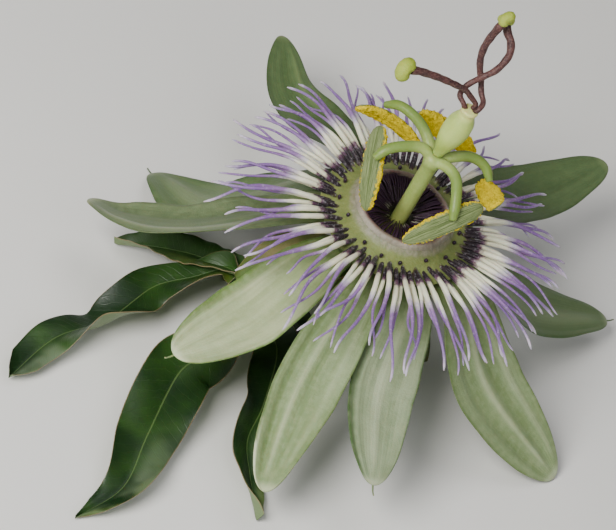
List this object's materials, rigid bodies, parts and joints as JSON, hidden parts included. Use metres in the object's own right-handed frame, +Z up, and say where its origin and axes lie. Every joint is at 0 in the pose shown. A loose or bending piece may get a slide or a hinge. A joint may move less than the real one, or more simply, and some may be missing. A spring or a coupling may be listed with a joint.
{
  "type": "passion flower",
  "caption": "Open passion flower with pale tepals, a filament corona, stamens, ovary and curled styles, lying on a piece of vine with a lobed leaf.",
  "frame": {"origin": "on the surface it lies on, under the middle of its footprint", "axes": "+Z up along the flower's own axis; +Y along the longest reach, away from the long leaf lobe"},
  "size_m": [0.085, 0.107, 0.0659],
  "materials": {
    "petal": "soft satin petal, pale green-white",
    "sepal": "soft satin, pale green-white with a greener edge",
    "corona": "filaments banded dark purple, white and violet",
    "inner_corona": "pale green wall with a dark purple fringe",
    "flesh_green": "smooth waxy green",
    "ovary": "smooth waxy yellow-green",
    "pollen": "grainy yellow pollen on a pale green back",
    "style": "purple-brown, speckled",
    "stigma": "matte yellow-green",
    "bract": "green with a pinkish-brown edge",
    "stem": "green, faintly ridged",
    "leaf": "dark green, waxy gloss"
  },
  "bodies": {
    "root": {"anther_1": "pollen", "anther_2": "pollen", "anther_3": "pollen", "anther_4": "pollen", "anther_5": "pollen", "bract_1": "bract", "bract_2": "bract", "bract_3": "bract", "column": "flesh_green", "corona": "corona", "floral_cup": "flesh_green", "inner_corona": "inner_corona", "leaf": "leaf", "ovary": "ovary", "petal_1": "petal", "petal_2": "petal", "petal_3": "petal", "petal_4": "petal", "petal_5": "petal", "sepal_1": "sepal", "sepal_2": "sepal", "sepal_3": "sepal", "sepal_4": "sepal", "sepal_5": "sepal", "stem": "stem", "stigma_1": "stigma", "stigma_2": "stigma", "stigma_3": "stigma", "style_1": "style", "style_2": "style", "style_3": "style"}
  },
  "joints": []
}
